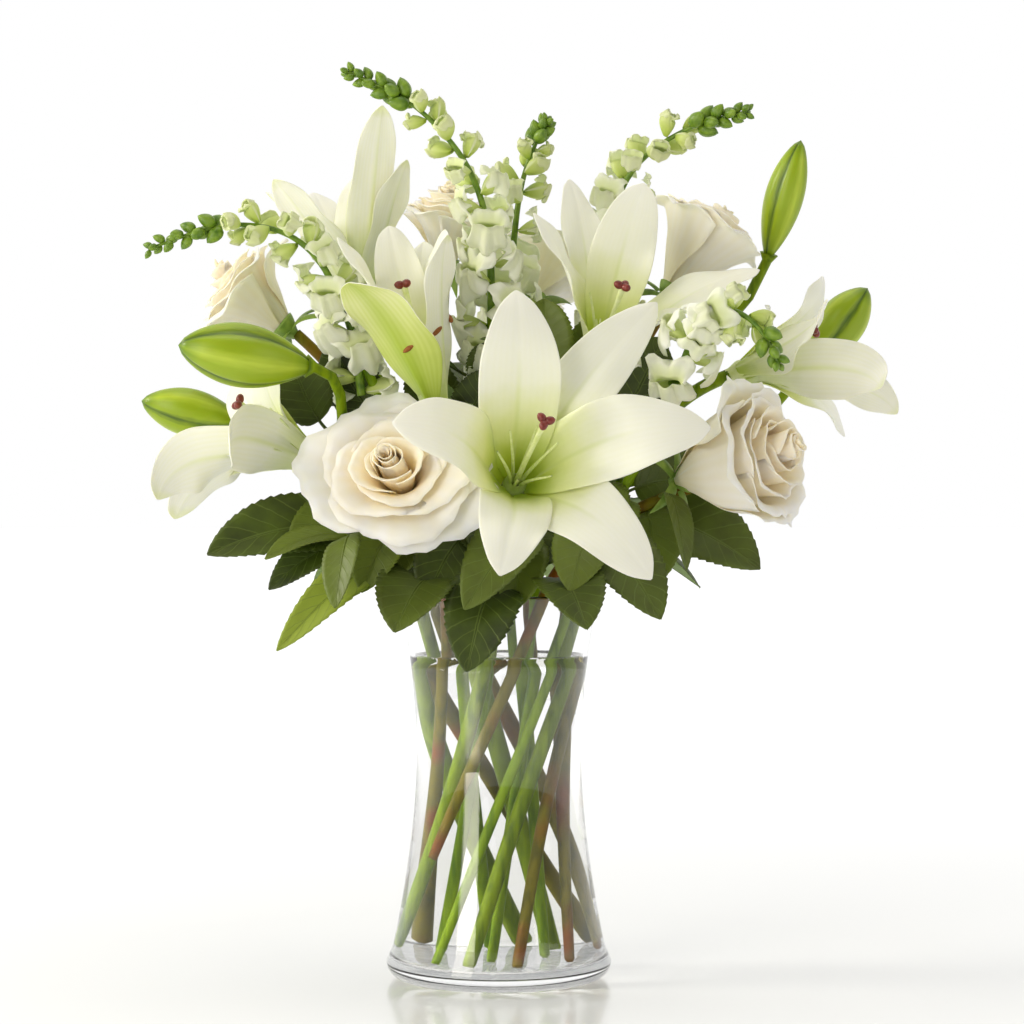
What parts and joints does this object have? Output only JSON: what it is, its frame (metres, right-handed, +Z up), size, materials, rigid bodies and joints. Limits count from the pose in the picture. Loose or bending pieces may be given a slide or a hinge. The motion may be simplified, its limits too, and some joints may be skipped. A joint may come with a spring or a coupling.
{
  "type": "bouquet of white lilies, roses and snapdragons in a flared glass vase",
  "caption": "Hand-tied bouquet of white lilies, ivory roses and snapdragons with green foliage, standing in a clear flared glass vase.",
  "frame": {"origin": "centre of the vase's flat underside", "axes": "+Z up out of the vase's mouth, -Y towards the front of the bouquet, +X to its right seen from the front"},
  "size_m": [0.4067, 0.2781, 0.4828],
  "materials": {
    "vase_glass": "clear soda-lime glass, polished, thick rounded foot",
    "lily_petal": "waxy white petal, cream-green throat and midrib, fine veins",
    "rose_petal": "velvety ivory petal, warmer peach cream in the heart",
    "snapdragon_floret": "soft white floret with a pale green tube",
    "lily_bud": "smooth bright green bud with darker ribs",
    "lily_stem": "fresh green stem, smooth, slightly waxy",
    "rose_stem": "woody green to red-brown stem",
    "snapdragon_stem": "pale green soft stem",
    "rose_leaf": "dark green veined leaf with a serrated edge",
    "lily_style": "pale green style with a maroon stigma"
  },
  "bodies": {
    "root": {"leaf_1": "rose_leaf", "leaf_2": "rose_leaf", "leaf_3": "rose_leaf", "leaf_4": "rose_leaf", "leaf_5": "rose_leaf", "leaf_6": "rose_leaf", "leaf_7": "rose_leaf", "leaf_8": "rose_leaf", "leaf_9": "rose_leaf", "lily_1_pedicel": "lily_stem", "lily_1_pistil": "lily_style", "lily_1_tepal_1": "lily_petal", "lily_1_tepal_2": "lily_petal", "lily_1_tepal_3": "lily_petal", "lily_1_tepal_4": "lily_petal", "lily_1_tepal_5": "lily_petal", "lily_1_tepal_6": "lily_petal", "lily_2_pistil": "lily_style", "lily_2_tepals": "lily_petal", "lily_3_pedicel": "lily_stem", "lily_3_pistil": "lily_style", "lily_3_tepals": "lily_petal", "lily_4_pistil": "lily_style", "lily_4_tepals": "lily_petal", "lily_5_tepals": "lily_petal", "lily_6_pistil": "lily_style", "lily_6_tepals": "lily_petal", "lily_bud_1": "lily_bud", "lily_bud_2": "lily_bud", "lily_bud_3": "lily_bud", "lily_bud_4": "lily_bud", "lily_stem_1": "lily_stem", "lily_stem_2": "lily_stem", "lily_stem_3": "lily_stem", "lily_stem_4": "lily_stem", "rose_1_head": "rose_petal", "rose_2_head": "rose_petal", "rose_3_head": "rose_petal", "rose_4_head": "rose_petal", "rose_5_head": "rose_petal", "rose_6_head": "rose_petal", "rose_stem_1": "rose_stem", "rose_stem_2": "rose_stem", "rose_stem_3": "rose_stem", "rose_stem_4": "rose_stem", "rose_stem_5": "rose_stem", "rose_stem_6": "rose_stem", "snapdragon_1_florets": "snapdragon_floret", "snapdragon_2_florets": "snapdragon_floret", "snapdragon_3_florets": "snapdragon_floret", "snapdragon_4_florets": "snapdragon_floret", "snapdragon_5_florets": "snapdragon_floret", "snapdragon_stem_1": "snapdragon_stem", "snapdragon_stem_2": "snapdragon_stem", "snapdragon_stem_3": "snapdragon_stem", "snapdragon_stem_4": "snapdragon_stem", "snapdragon_stem_5": "snapdragon_stem", "vase": "vase_glass"}
  },
  "joints": []
}
